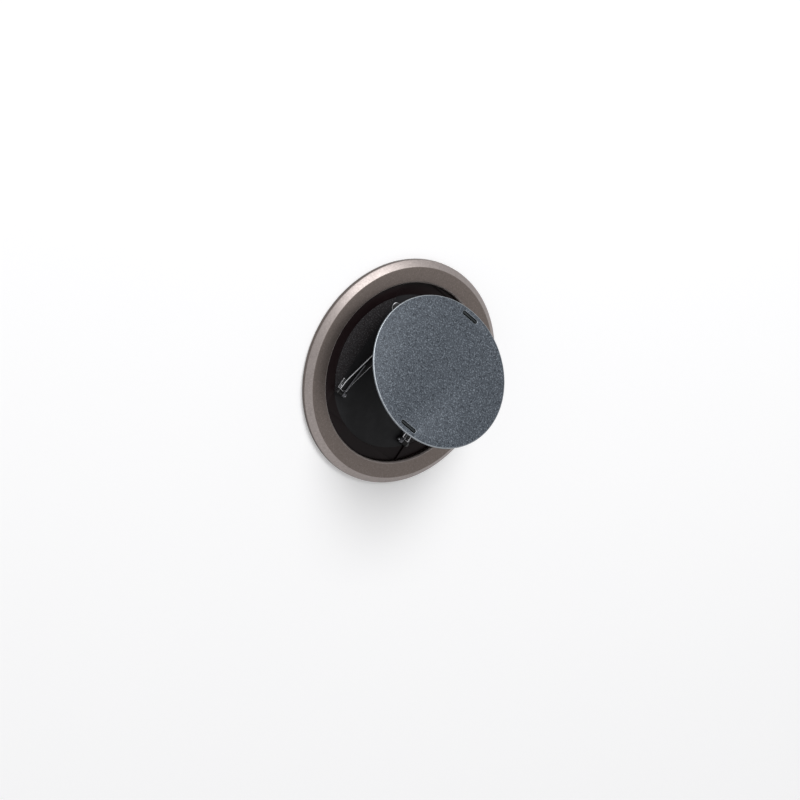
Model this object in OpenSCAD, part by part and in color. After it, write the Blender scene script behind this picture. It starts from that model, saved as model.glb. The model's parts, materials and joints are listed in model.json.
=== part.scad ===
// Magnetic phone grip: a ring-shaped base with a round cap on a folding crossed-arm linkage.
// Origin at the centre of the face that lies on the phone, +Z out of the phone,
// +Y along the arms. The grip is drawn open, with the cap tilted to follow the fingers.

/* [Base ring] */
// Outer diameter of the metal ring
ring_d = 56.1; // [54:0.1:62]
// Height of the ring's top face above the phone
ring_h = 2.4; // [2.2:0.1:3.2]
// Height at which the outer chamfer starts
ring_bevel_z = 1.2; // [1:0.1:1.6]
// Width of the outer chamfer, seen from above
ring_bevel_w = 1.6; // [1:0.1:2]
// Width of the ring's band, from its outer wall to the well
band_w = 5.6; // [5.2:0.1:6]
// Size of the small chamfer round the well's edge
well_bevel = 0.4; // [0.2:0.1:0.6]
// Thickness of the ring's top wall over the magnets
ring_roof = 0.7; // [0.5:0.1:0.8]
// Thickness of the ring's outer wall
ring_wall = 1.25; // [0.9:0.05:1.5]
// Thickness of the ring's inner wall
ring_inner_wall = 0.75; // [0.6:0.05:1]
// Height of the ring's lower edge above the phone
ring_lift = 0.15; // [0.1:0.05:0.3]

/* [Base inside] */
// Thickness of the soft pad that lies on the phone
grip_pad_t = 0.5; // [0.4:0.1:0.6]
// Thickness of the moulded floor plate in the arm pocket
floor_t = 0.3; // [0.3:0.05:0.35]
// Height of the raised rim round the seats, above the pocket's floor
rim_t = 0.35; // [0.3:0.05:0.5]
// Width of the smooth rim between the well's wall and the seats
rim_w = 3.25; // [3:0.05:3.4]
// Thickness of the textured seats beside the pocket
seat_t = 0.4; // [0.3:0.05:0.5]
// Width of the arm pocket between the seats
pocket_w = 27.4; // [27.2:0.1:28]
// Length of the arm pocket along the arms
pocket_len = 40; // [39.6:0.2:41]
// Offset of the arm pocket's middle along the arms
pocket_shift = 1.4; // [1:0.1:1.8]
// Number of magnets round the ring
magnet_count = 18; // [12:1:24]
// Thickness of the magnets
magnet_t = 0.6; // [0.5:0.05:0.65]
// Gap between neighbouring magnets
magnet_gap = 1.2; // [0.8:0.1:2]
// Thickness of the steel ring on top of the magnets
shunt_t = 0.2; // [0.15:0.05:0.25]

/* [Linkage] */
// Height of the hinge line in the base above the phone
pivot_z = 1.6; // [1.6:0.05:1.8]
// Distance of the outer arm's hinge from the centre
outer_pivot = 13.2; // [13:0.1:13.6]
// Length of the outer arm between its hinges
outer_len = 30.8; // [30.6:0.1:31]
// Angle of the outer arm when open
outer_angle = 6.35; // [6:0.05:7]
// Half distance between the two hinges of the spine
spine_half = 16; // [15.9:0.1:16.2]
// Tilt of the spine along the arms when open
spine_pitch = 22.3; // [21:0.1:23]
// Length of the inner arm between its hinge and its feet
inner_len = 27.6; // [27.4:0.1:27.8]
// Height of the inner arm's foot pins above the phone
foot_z = 1.75; // [1.7:0.05:1.9]
// Sideways rock of the cap when open
cap_rock = 15.6; // [0:0.1:16]

/* [Arms] */
// Thickness of the arms
arm_t = 0.6; // [0.5:0.05:0.7]
// Width of the outer arm's rails
rail_w = 2.2; // [1.8:0.1:2.3]
// Half width of the outer arm at its far shoulders
outer_far_half = 8.8; // [8.7:0.1:9.2]
// Length of the outer arm's straight sides at the base hinge
base_straight = 3; // [2.6:0.1:3.4]
// Distance of the outer arm's far shoulders from its far hinge
shoulder_back = 4.2; // [3.8:0.1:4.6]
// Width of the corner cut off each far shoulder
shoulder_cut = 1.2; // [0.8:0.1:1.6]
// Width of the bar across the outer arm's far end
far_bar = 3.2; // [3:0.1:3.6]
// Length of the outer arm's hinge eyes along the base pins
eye_len = 1.3; // [1.1:0.1:1.5]
// Radius of the hinge knuckles
knuckle_r = 0.7; // [0.65:0.01:0.72]
// Radius of the knuckles at the inner arm's feet
foot_knuckle_r = 0.6; // [0.56:0.01:0.62]
// Radius of the hinge pins
pin_r = 0.35; // [0.3:0.01:0.4]
// Half width of the spine and its knuckles
spine_half_w = 2; // [1.8:0.1:2.2]
// Half width over the arm knuckles beside the spine
arm_knuckle_half = 4.6; // [4.4:0.1:4.8]
// Half width of the inner arm
inner_half = 5.2; // [5:0.1:5.3]
// Width of the inner arm's rails
inner_rail_w = 1.9; // [1.6:0.1:2.2]
// Length of the plate across the inner arm's end at the spine
inner_bar = 4; // [3.6:0.1:4.4]
// Length of the plate across the inner arm's end at the feet
inner_foot_bar = 4.5; // [4.2:0.1:4.9]
// Length of the shoulders cut beside the inner arm's knuckles
inner_shoulder = 2; // [1.7:0.1:2.3]
// Thickness of the spine's plate
spine_t = 0.45; // [0.4:0.01:0.5]
// Height of the spine's plate above its hinges
spine_low = 0.5; // [0.48:0.01:0.52]
// Thickness of the spring wire
spring_wire = 0.3; // [0.25:0.05:0.35]
// Number of turns of each spring
spring_turns = 4; // [3:1:4]
// Length of each spring's leg along the rail
spring_leg = 8.2; // [5:0.1:9]

/* [Foot guide] */
// Thickness of the steel guide plate
guide_t = 0.35; // [0.3:0.05:0.4]
// Length of the guide plate along the arms
guide_len = 4.3; // [4:0.1:4.6]
// Distance from the guide plate's near edge to its cheeks
guide_lead = 1.4; // [1.3:0.1:1.6]
// Width of the bridge that joins the guide plate's two halves
guide_bridge = 1.2; // [1:0.1:1.2]
// Corner radius of the guide plate
guide_corner = 1.1; // [0.8:0.1:1.3]
// Inset of the guide plate's near corners from its far ones
guide_taper = 1.9; // [1:0.1:2.4]
// Thickness of the cheeks that guide the feet
cheek_t = 0.9; // [0.7:0.05:1]
// Height of the cheeks above the pocket's floor
cheek_h = 1.75; // [1.7:0.05:1.9]
// Wall of the cheeks round their slots
cheek_wall = 0.35; // [0.3:0.05:0.4]
// Radius of the rivets in the guide plate
rivet_r = 0.45; // [0.35:0.05:0.6]
// Distance of the rivets from the guide plate's far corners
rivet_inset = 2.95; // [2.5:0.05:3.4]

/* [Brackets] */
// Thickness of the ears that carry the base pins
ear_t = 0.45; // [0.35:0.05:0.45]
// Length of each bracket's foot along the arms
bracket_foot = 2.2; // [1.8:0.1:2.4]
// Width of each bracket's foot
bracket_w = 2.6; // [2:0.1:3]
// Distance from the base hinge's knuckles to the brackets' feet
bracket_clear = 0.5; // [0.4:0.1:0.6]

/* [Cap] */
// Diameter of the cap
cap_d = 37.8; // [37:0.1:38]
// Thickness of the cap's metal plate
cap_t = 0.6; // [0.5:0.1:0.8]
// Thickness of the carrier disc under the cap
carrier_t = 0.5; // [0.5:0.1:0.8]
// Step of the carrier's edge inside the cap's edge
carrier_step = 0.4; // [0.2:0.1:0.6]
// Chamfer of the cap's top edge
cap_bevel = 0.15; // [0.1:0.05:0.2]
// Height of the rocking rod above the spine's hinges
rock_h = 1.75; // [1.7:0.05:1.8]
// Gap between the rocking rod's axis and the carrier
carrier_gap = 0.75; // [0.7:0.05:0.9]
// Radius of the rocking rod
rod_r = 0.35; // [0.3:0.01:0.37]
// Radius of the barrel that turns on the rocking rod
barrel_r = 0.65; // [0.6:0.01:0.67]
// Half length of the barrel
barrel_half = 10.4; // [9.6:0.1:11]
// Length of the spine's end posts along the rod
post_len = 1.4; // [1:0.1:1.8]
// Distance of the two cap slots from the centre
slot_reach = 17.15; // [16.8:0.05:17.3]
// Length of the cap slots
slot_len = 4.6; // [4:0.1:5]
// Width of the cap slots
slot_w = 1.1; // [0.9:0.1:1.3]
// Turn of the slots from the line of the arms
slot_turn = 10.8; // [0:0.1:15]
// Half thickness of the web between the carrier's barrel and its disc
web_half = 0.5; // [0.4:0.05:0.6]
// Depth of the carrier's hooks below the cap's top face
hook_drop = 0.15; // [0.1:0.05:0.3]

/* [Clearances] */
// Radial clearance of a turning pin in its knuckle
pin_gap = 0.05; // [0.03:0.01:0.08]
// Radial clearance of a fixed pin in its seat
seat_gap = 0.01; // [0.01:0.01:0.02]
// Side clearance between the outer arm and the ears
ear_gap = 0.05; // [0.05:0.05:0.15]
// Side clearance between neighbouring knuckles
side_gap = 0.15; // [0.1:0.05:0.2]
// Clearance round inserts and plates
fit_gap = 0.1; // [0.05:0.05:0.15]
// Clearance of the feet in their slots
slot_gap = 0.2; // [0.15:0.05:0.25]

/* [Hidden] */
$fn = 96;

// Overshoot of a cut past the face it opens
over = 0.1;
ring_r = ring_d / 2;
well_r = ring_r - band_w;
seat_r = well_r - rim_w;
cap_r = cap_d / 2;
pocket_half = pocket_w / 2;
ear_in = pocket_half - ear_t;
outer_base_half = ear_in - ear_gap;

// Levels and radii in the base
floor_z = grip_pad_t + floor_t;
roof_z = ring_h - ring_roof;
channel_out = ring_r - ring_wall;
channel_in = well_r + ring_inner_wall;
plate_r = channel_out - fit_gap;

// Hinges of the open linkage, as places in the YZ plane
far_y = -outer_pivot + outer_len * cos(outer_angle);
far_z = pivot_z + outer_len * sin(outer_angle);
mid_y = far_y - spine_half * cos(spine_pitch);
mid_z = far_z + spine_half * sin(spine_pitch);
near_y = mid_y - spine_half * cos(spine_pitch);
near_z = mid_z + spine_half * sin(spine_pitch);
inner_angle = asin((near_z - foot_z) / inner_len);
foot_y = near_y + inner_len * cos(inner_angle);
// Place of the feet when the grip is folded flat
foot_shut_y = -outer_pivot + outer_len - 2 * spine_half + inner_len;

// Guide for the feet
cheek_in = inner_half + side_gap;
cheek_out = cheek_in + cheek_t;
slot_start = foot_y - pin_r - slot_gap;
slot_end = foot_shut_y + pin_r + slot_gap;
slot_low = floor_z + cheek_wall - slot_gap;
slot_high = foot_z + pin_r + slot_gap;
cheek_start = slot_start - cheek_wall;
guide_low = cheek_start - guide_lead;
guide_high = guide_low + guide_len;
rivet_x = ear_in - rivet_inset;
rivet_y = (guide_low + guide_high) / 2;

// Base hinge, from the middle outwards: spring, knuckle, ear
eye_in = outer_base_half - eye_len;
spring_span = spring_turns * spring_wire;
spring_start = eye_in - side_gap - spring_span;
coil_in = pin_r + fit_gap;
coil_out = coil_in + spring_wire;

// Copies its children to the left and the right side
module both_sides() {
    for (side = [-1, 1]) scale([side, 1, 1]) children();
}

// A round bar along X from x = a to x = b
module bar_x(a, b, r) {
    translate([a, 0, 0]) rotate([0, 90, 0]) cylinder(r = r, h = b - a, $fn = 48);
}

// A round bar along Y from y = a to y = b
module bar_y(a, b, r) {
    translate([0, a, 0]) rotate([-90, 0, 0]) cylinder(r = r, h = b - a, $fn = 48);
}

// Local frames of the hinged pieces; in each, Y runs along the piece and Z out of its face
module on_base_hinge() {
    translate([0, -outer_pivot, pivot_z]) children();
}
module on_outer_arm() {
    on_base_hinge() rotate([outer_angle, 0, 0]) children();
}
module on_spine() {
    translate([0, mid_y, mid_z]) rotate([-spine_pitch, 0, 0]) children();
}
module on_inner_arm() {
    translate([0, near_y, near_z]) rotate([-inner_angle, 0, 0]) children();
}
module on_cap() {
    on_spine() translate([0, 0, rock_h]) rotate([0, -cap_rock, 0]) children();
}

module base_ring() {
    color([0.75, 0.69, 0.64]) rotate_extrude($fn = 180) polygon([
        [ring_r, ring_lift],
        [ring_r, ring_bevel_z],
        [ring_r - ring_bevel_w, ring_h],
        [well_r + well_bevel, ring_h],
        [well_r, ring_h - well_bevel],
        [well_r, floor_z],
        [channel_in, floor_z],
        [channel_in, roof_z],
        [channel_out, roof_z],
        [channel_out, ring_lift]
    ]);
}

module grip_pad() {
    edge = 0.15;
    color([0.16, 0.16, 0.17]) rotate_extrude() polygon([
        [0, 0],
        [plate_r - edge, 0],
        [plate_r, edge],
        [plate_r, grip_pad_t],
        [0, grip_pad_t]
    ]);
}

module floor_plate() {
    color([0.11, 0.11, 0.12]) difference() {
        rotate_extrude() polygon([
            [0, grip_pad_t],
            [plate_r, grip_pad_t],
            [plate_r, floor_z],
            [well_r - fit_gap, floor_z],
            [well_r - fit_gap, floor_z + rim_t],
            [seat_r + fit_gap, floor_z + rim_t],
            [seat_r + fit_gap, floor_z],
            [0, floor_z]
        ]);
        translate([-pocket_half, pocket_shift - pocket_len / 2, floor_z])
            cube([pocket_w, pocket_len, ring_h]);
    }
}

module magnet_array() {
    step = 360 / magnet_count;
    gap_angle = magnet_gap / channel_in * 180 / PI;
    color([0.72, 0.72, 0.74])
        for (k = [0 : magnet_count - 1])
            rotate([0, 0, (k + 0.5) * step + gap_angle / 2])
                translate([0, 0, floor_z])
                    rotate_extrude(angle = step - gap_angle)
                        translate([channel_in + fit_gap, 0])
                            square([channel_out - channel_in - 2 * fit_gap, magnet_t]);
}

module shunt_ring() {
    color([0.6, 0.6, 0.62]) translate([0, 0, floor_z + magnet_t]) rotate_extrude()
        translate([channel_in + fit_gap, 0])
            square([channel_out - channel_in - 2 * fit_gap, shunt_t]);
}

// Textured seat beside the pocket; side is -1 for the left one and 1 for the right one
module seat(side) {
    color([0.2, 0.2, 0.21]) scale([side, 1, 1]) intersection() {
        translate([0, 0, floor_z]) cylinder(r = seat_r, h = seat_t);
        translate([pocket_half, -seat_r, 0]) cube([seat_r, 2 * seat_r, ring_h]);
    }
}
module seat_left() { seat(-1); }
module seat_right() { seat(1); }

module guide_outline() {
    half_high = ear_in - guide_corner;
    half_low = half_high - guide_taper;
    hull() for (side = [-1, 1]) {
        translate([side * half_high, guide_high - guide_corner]) circle(guide_corner, $fn = 32);
        translate([side * half_low, guide_low + guide_corner]) circle(guide_corner, $fn = 32);
    }
}

// Steel plate on the pocket's floor, with two cheeks that guide the inner arm's feet
module guide_plate() {
    color([0.62, 0.62, 0.64]) difference() {
        union() {
            translate([0, 0, floor_z]) linear_extrude(guide_t) guide_outline();
            both_sides() translate([cheek_in, cheek_start, floor_z])
                cube([cheek_t, slot_end + cheek_wall - cheek_start, cheek_h]);
        }
        translate([-cheek_in, guide_low + guide_bridge, 0]) cube([2 * cheek_in, guide_high, ring_h]);
        both_sides() {
            translate([cheek_in - over, slot_start, slot_low])
                cube([cheek_t + 2 * over, slot_end - slot_start, slot_high - slot_low]);
            translate([rivet_x, rivet_y, 0]) cylinder(r = rivet_r + seat_gap, h = ring_h, $fn = 32);
        }
    }
}

module guide_rivets() {
    color([0.75, 0.75, 0.77]) both_sides()
        translate([rivet_x, rivet_y, floor_z]) cylinder(r = rivet_r, h = guide_t, $fn = 32);
}

// Steel bracket whose ear carries a base pin; side is -1 for left and 1 for right
module bracket(side) {
    foot_start = knuckle_r + bracket_clear;
    color([0.5, 0.5, 0.52]) scale([side, 1, 1]) on_base_hinge() difference() {
        union() {
            translate([pocket_half - bracket_w, foot_start, floor_z - pivot_z])
                cube([bracket_w, bracket_foot, guide_t]);
            translate([ear_in, -knuckle_r, floor_z - pivot_z])
                cube([ear_t, knuckle_r + foot_start + bracket_foot, pivot_z - floor_z]);
            bar_x(ear_in, pocket_half, knuckle_r);
        }
        bar_x(ear_in - over, pocket_half + over, pin_r + seat_gap);
    }
}
module bracket_left() { bracket(-1); }
module bracket_right() { bracket(1); }

module base_pin(side) {
    color([0.8, 0.8, 0.82]) scale([side, 1, 1]) on_base_hinge()
        bar_x(spring_start - side_gap, pocket_half, pin_r);
}
module base_pin_left() { base_pin(-1); }
module base_pin_right() { base_pin(1); }

// Right half of the outer arm's edge, from the base hinge to the far hinge
outer_edge = [
    [outer_base_half, 0],
    [outer_base_half, base_straight],
    [outer_far_half, outer_len - shoulder_back],
    [outer_far_half - shoulder_cut, outer_len - shoulder_back / 2],
    [arm_knuckle_half, outer_len]
];
// Right half of the outer arm's window, which is open between the base hinges
outer_window = [
    [outer_base_half - rail_w, -knuckle_r - over],
    [outer_base_half - rail_w, base_straight],
    [outer_far_half - rail_w, outer_len - shoulder_back],
    [outer_far_half - rail_w, outer_len - far_bar]
];
function mirrored(points) = concat(
    points,
    [for (k = [len(points) - 1 : -1 : 0]) [-points[k][0], points[k][1]]]
);

module outer_arm() {
    notch_half = spine_half_w + side_gap;
    notch_y = outer_len - knuckle_r - side_gap;
    rail_in = outer_base_half - rail_w;
    tall = 2 * (knuckle_r + over);
    color([0.1, 0.1, 0.11]) on_outer_arm() difference() {
        union() {
            translate([0, 0, -arm_t / 2]) linear_extrude(arm_t) difference() {
                polygon(mirrored(outer_edge));
                polygon(mirrored(outer_window));
            }
            both_sides() {
                bar_x(eye_in, outer_base_half, knuckle_r);
                translate([0, outer_len, 0]) bar_x(notch_half, arm_knuckle_half, knuckle_r);
            }
        }
        bar_x(-outer_base_half - over, outer_base_half + over, pin_r + pin_gap);
        translate([0, outer_len, 0])
            bar_x(-arm_knuckle_half - over, arm_knuckle_half + over, pin_r + seat_gap);
        translate([-notch_half, notch_y, -tall / 2]) cube([2 * notch_half, tall, tall]);
        both_sides() translate([rail_in - over, -knuckle_r - over, -tall / 2])
            cube([eye_in - rail_in + over, knuckle_r + over + coil_out + fit_gap, tall]);
    }
}

module outer_arm_pin() {
    color([0.8, 0.8, 0.82]) on_outer_arm() translate([0, outer_len, 0])
        bar_x(-arm_knuckle_half, arm_knuckle_half, pin_r);
}

// Cut through one side of a spring's turns, which lie side by side round its axis
function coil_outline() = concat(
    [[coil_in, 0]],
    [for (k = [0 : spring_turns - 1], part = [[0.7, 0.02], [1, 0.3], [1, 0.7], [0.7, 0.98]])
        [coil_in + part[0] * spring_wire, (k + part[1]) * spring_wire]],
    [[coil_in, spring_span]]
);

// Torsion spring on a base pin, with a leg that lies along the rail
module spring(side) {
    leg_x = spring_start + spring_span - spring_wire / 2;
    leg_z = arm_t / 2 + spring_wire / 2 + seat_gap;
    color([0.75, 0.75, 0.78]) scale([side, 1, 1]) on_outer_arm() {
        translate([spring_start, 0, 0]) rotate([0, 90, 0]) rotate_extrude($fn = 48)
            polygon(coil_outline());
        translate([leg_x, 0, leg_z]) bar_y(coil_in, coil_in + spring_leg, spring_wire / 2);
    }
}
module spring_left() { spring(-1); }
module spring_right() { spring(1); }

module spine() {
    post_in = barrel_half + side_gap;
    color([0.1, 0.1, 0.11]) on_spine() difference() {
        union() {
            translate([-spine_half_w, -spine_half, spine_low])
                cube([2 * spine_half_w, 2 * spine_half, spine_t]);
            for (end = [-1, 1]) scale([1, end, 1]) {
                translate([0, spine_half, 0]) bar_x(-spine_half_w, spine_half_w, knuckle_r);
                translate([-spine_half_w, spine_half - pin_r, 0])
                    cube([2 * spine_half_w, 2 * pin_r, spine_low + spine_t]);
                translate([-barrel_r, post_in, spine_low])
                    cube([2 * barrel_r, post_len, rock_h - spine_low]);
                translate([0, 0, rock_h]) bar_y(post_in, post_in + post_len, barrel_r);
            }
        }
        for (end = [-1, 1]) translate([0, end * spine_half, 0])
            bar_x(-spine_half_w - over, spine_half_w + over, pin_r + pin_gap);
        translate([0, 0, rock_h]) bar_y(-spine_half, spine_half, rod_r + seat_gap);
    }
}

module rocking_rod() {
    reach = barrel_half + side_gap + post_len;
    color([0.8, 0.8, 0.82]) on_spine() translate([0, 0, rock_h]) bar_y(-reach, reach, rod_r);
}

module inner_arm() {
    window_half = inner_half - inner_rail_w;
    notch_half = spine_half_w + side_gap;
    tall = 2 * (knuckle_r + over);
    color([0.12, 0.12, 0.13]) on_inner_arm() difference() {
        union() {
            translate([-inner_half, 0, -arm_t / 2]) cube([2 * inner_half, inner_len, arm_t]);
            both_sides() {
                bar_x(notch_half, arm_knuckle_half, knuckle_r);
                translate([0, inner_len, 0]) bar_x(window_half, inner_half, foot_knuckle_r);
            }
        }
        translate([-window_half, inner_bar, -tall / 2])
            cube([2 * window_half, inner_len - inner_foot_bar - inner_bar, tall]);
        translate([-window_half, inner_len - 2 * foot_knuckle_r, -tall / 2])
            cube([2 * window_half, 2 * tall, tall]);
        translate([-notch_half, -tall / 2, -tall / 2]) cube([2 * notch_half, tall + side_gap, tall]);
        both_sides() translate([arm_knuckle_half, -over, -tall / 2])
            cube([inner_half, inner_shoulder + over, tall]);
        bar_x(-inner_half - over, inner_half + over, pin_r + seat_gap);
        translate([0, inner_len, 0]) bar_x(-inner_half - over, inner_half + over, pin_r + seat_gap);
    }
}

module inner_arm_pin() {
    color([0.8, 0.8, 0.82]) on_inner_arm() bar_x(-arm_knuckle_half, arm_knuckle_half, pin_r);
}

module foot_pin(side) {
    color([0.8, 0.8, 0.82]) scale([side, 1, 1]) on_inner_arm() translate([0, inner_len, 0])
        bar_x(inner_half - inner_rail_w, cheek_out, pin_r);
}
module foot_pin_left() { foot_pin(-1); }
module foot_pin_right() { foot_pin(1); }

// Disc under the cap, with the barrel that rocks on the rod and a hook in each cap slot
module carrier() {
    hook_w = slot_w - 4 * fit_gap;
    hook_len = slot_len - 4 * fit_gap;
    top = carrier_gap + carrier_t;
    color([0.09, 0.09, 0.1]) on_cap() difference() {
        union() {
            translate([0, 0, carrier_gap]) cylinder(r = cap_r - carrier_step, h = carrier_t);
            bar_y(-barrel_half, barrel_half, barrel_r);
            translate([-web_half, -barrel_half, 0]) cube([2 * web_half, 2 * barrel_half, top]);
            rotate([0, 0, -slot_turn]) for (end = [-1, 1])
                translate([-hook_len / 2, end * slot_reach - hook_w / 2, carrier_gap])
                    cube([hook_len, hook_w, carrier_t + cap_t - hook_drop]);
        }
        bar_y(-barrel_half - over, barrel_half + over, rod_r + pin_gap);
    }
}

module cap_slot() {
    end_r = slot_w / 2;
    half = slot_len / 2 - end_r;
    translate([-half, -end_r, -over]) cube([2 * half, slot_w, cap_t + 2 * over]);
    for (side = [-1, 1]) translate([side * half, 0, -over])
        cylinder(r = end_r, h = cap_t + 2 * over, $fn = 32);
}

module cap() {
    color([0.23, 0.25, 0.28]) on_cap() translate([0, 0, carrier_gap + carrier_t]) difference() {
        rotate_extrude($fn = 180) polygon([
            [0, 0],
            [cap_r, 0],
            [cap_r, cap_t - cap_bevel],
            [cap_r - cap_bevel, cap_t],
            [0, cap_t]
        ]);
        rotate([0, 0, -slot_turn]) for (end = [-1, 1])
            translate([0, end * slot_reach, 0]) cap_slot();
    }
}

base_ring();
grip_pad();
floor_plate();
magnet_array();
shunt_ring();
seat_left();
seat_right();
guide_plate();
guide_rivets();
bracket_left();
bracket_right();
base_pin_left();
base_pin_right();
outer_arm();
outer_arm_pin();
spring_left();
spring_right();
spine();
rocking_rod();
inner_arm();
inner_arm_pin();
foot_pin_left();
foot_pin_right();
carrier();
cap();
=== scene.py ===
import json
import math
from functools import cache

import bpy
from bpy.props import FloatProperty, FloatVectorProperty, IntProperty, PointerProperty
from mathutils import Matrix, Vector

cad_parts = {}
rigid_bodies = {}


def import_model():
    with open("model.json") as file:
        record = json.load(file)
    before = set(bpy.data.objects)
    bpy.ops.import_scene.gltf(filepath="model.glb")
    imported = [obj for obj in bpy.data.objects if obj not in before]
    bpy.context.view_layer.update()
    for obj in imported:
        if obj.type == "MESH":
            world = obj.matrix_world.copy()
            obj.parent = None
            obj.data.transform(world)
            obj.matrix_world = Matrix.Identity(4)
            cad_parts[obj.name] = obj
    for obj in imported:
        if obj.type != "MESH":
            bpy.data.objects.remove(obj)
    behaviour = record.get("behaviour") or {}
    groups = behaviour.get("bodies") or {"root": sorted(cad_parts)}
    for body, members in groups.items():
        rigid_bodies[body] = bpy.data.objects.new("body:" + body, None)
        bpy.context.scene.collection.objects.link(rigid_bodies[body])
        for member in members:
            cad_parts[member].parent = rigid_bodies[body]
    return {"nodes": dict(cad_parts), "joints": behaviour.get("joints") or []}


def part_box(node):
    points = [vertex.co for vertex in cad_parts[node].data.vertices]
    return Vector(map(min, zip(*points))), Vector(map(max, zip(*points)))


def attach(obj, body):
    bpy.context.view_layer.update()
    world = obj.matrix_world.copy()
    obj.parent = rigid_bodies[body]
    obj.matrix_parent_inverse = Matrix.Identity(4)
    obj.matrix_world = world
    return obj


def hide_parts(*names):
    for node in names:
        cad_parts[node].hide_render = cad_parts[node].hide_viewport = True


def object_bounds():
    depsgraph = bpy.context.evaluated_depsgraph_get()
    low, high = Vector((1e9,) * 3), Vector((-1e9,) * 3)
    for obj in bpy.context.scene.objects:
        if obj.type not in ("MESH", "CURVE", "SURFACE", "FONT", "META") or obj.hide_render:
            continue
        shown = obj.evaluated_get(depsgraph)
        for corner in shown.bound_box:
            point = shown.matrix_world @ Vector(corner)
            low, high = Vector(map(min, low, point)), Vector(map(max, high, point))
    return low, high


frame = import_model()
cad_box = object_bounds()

bl_info = {
    "name": "Phone Grip",
    "version": (1, 0, 0),
    "blender": (4, 5, 0),
    "location": "3D View > Sidebar > Grip",
    "description": "Dresses a folding phone grip with its ring, cap, arms, springs and finishes",
    "category": "Object",
}

MM = 0.001
nodes = frame["nodes"]
joints = {joint["name"]: joint for joint in frame["joints"]}

# How squarely a face has to look along a direction to count, where 1 is straight
FACING = 0.9

# Outline of a rivet's dome, as shares of the head's radius and of the dome's height
DOME = ((1.0, 0.0), (0.96, 0.35), (0.8, 0.65), (0.5, 0.85), (0.2, 0.9))


def length(name, description, millimetres):
    """A length property, given in millimetres and kept in metres."""
    return FloatProperty(
        name=name, description=description, default=millimetres * MM, min=0, precision=5,
        subtype="DISTANCE", unit="LENGTH",
    )


def angle(name, description, degrees):
    """An angle property, given in degrees."""
    return FloatProperty(name=name, description=description, default=math.radians(degrees), subtype="ANGLE")


def count(name, description, value, least):
    """A whole-number property."""
    return IntProperty(name=name, description=description, default=value, min=least)


def number(name, description, value):
    """A plain number property of nought or more."""
    return FloatProperty(name=name, description=description, default=value, min=0)


def vector(name, description, values, subtype):
    """A property of three numbers."""
    return FloatVectorProperty(name=name, description=description, default=values, size=3, subtype=subtype)


def colour(name, description, rgb):
    """A colour property in linear red, green and blue."""
    return FloatVectorProperty(
        name=name, description=description, default=rgb, size=3, min=0, max=1, subtype="COLOR"
    )


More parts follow.
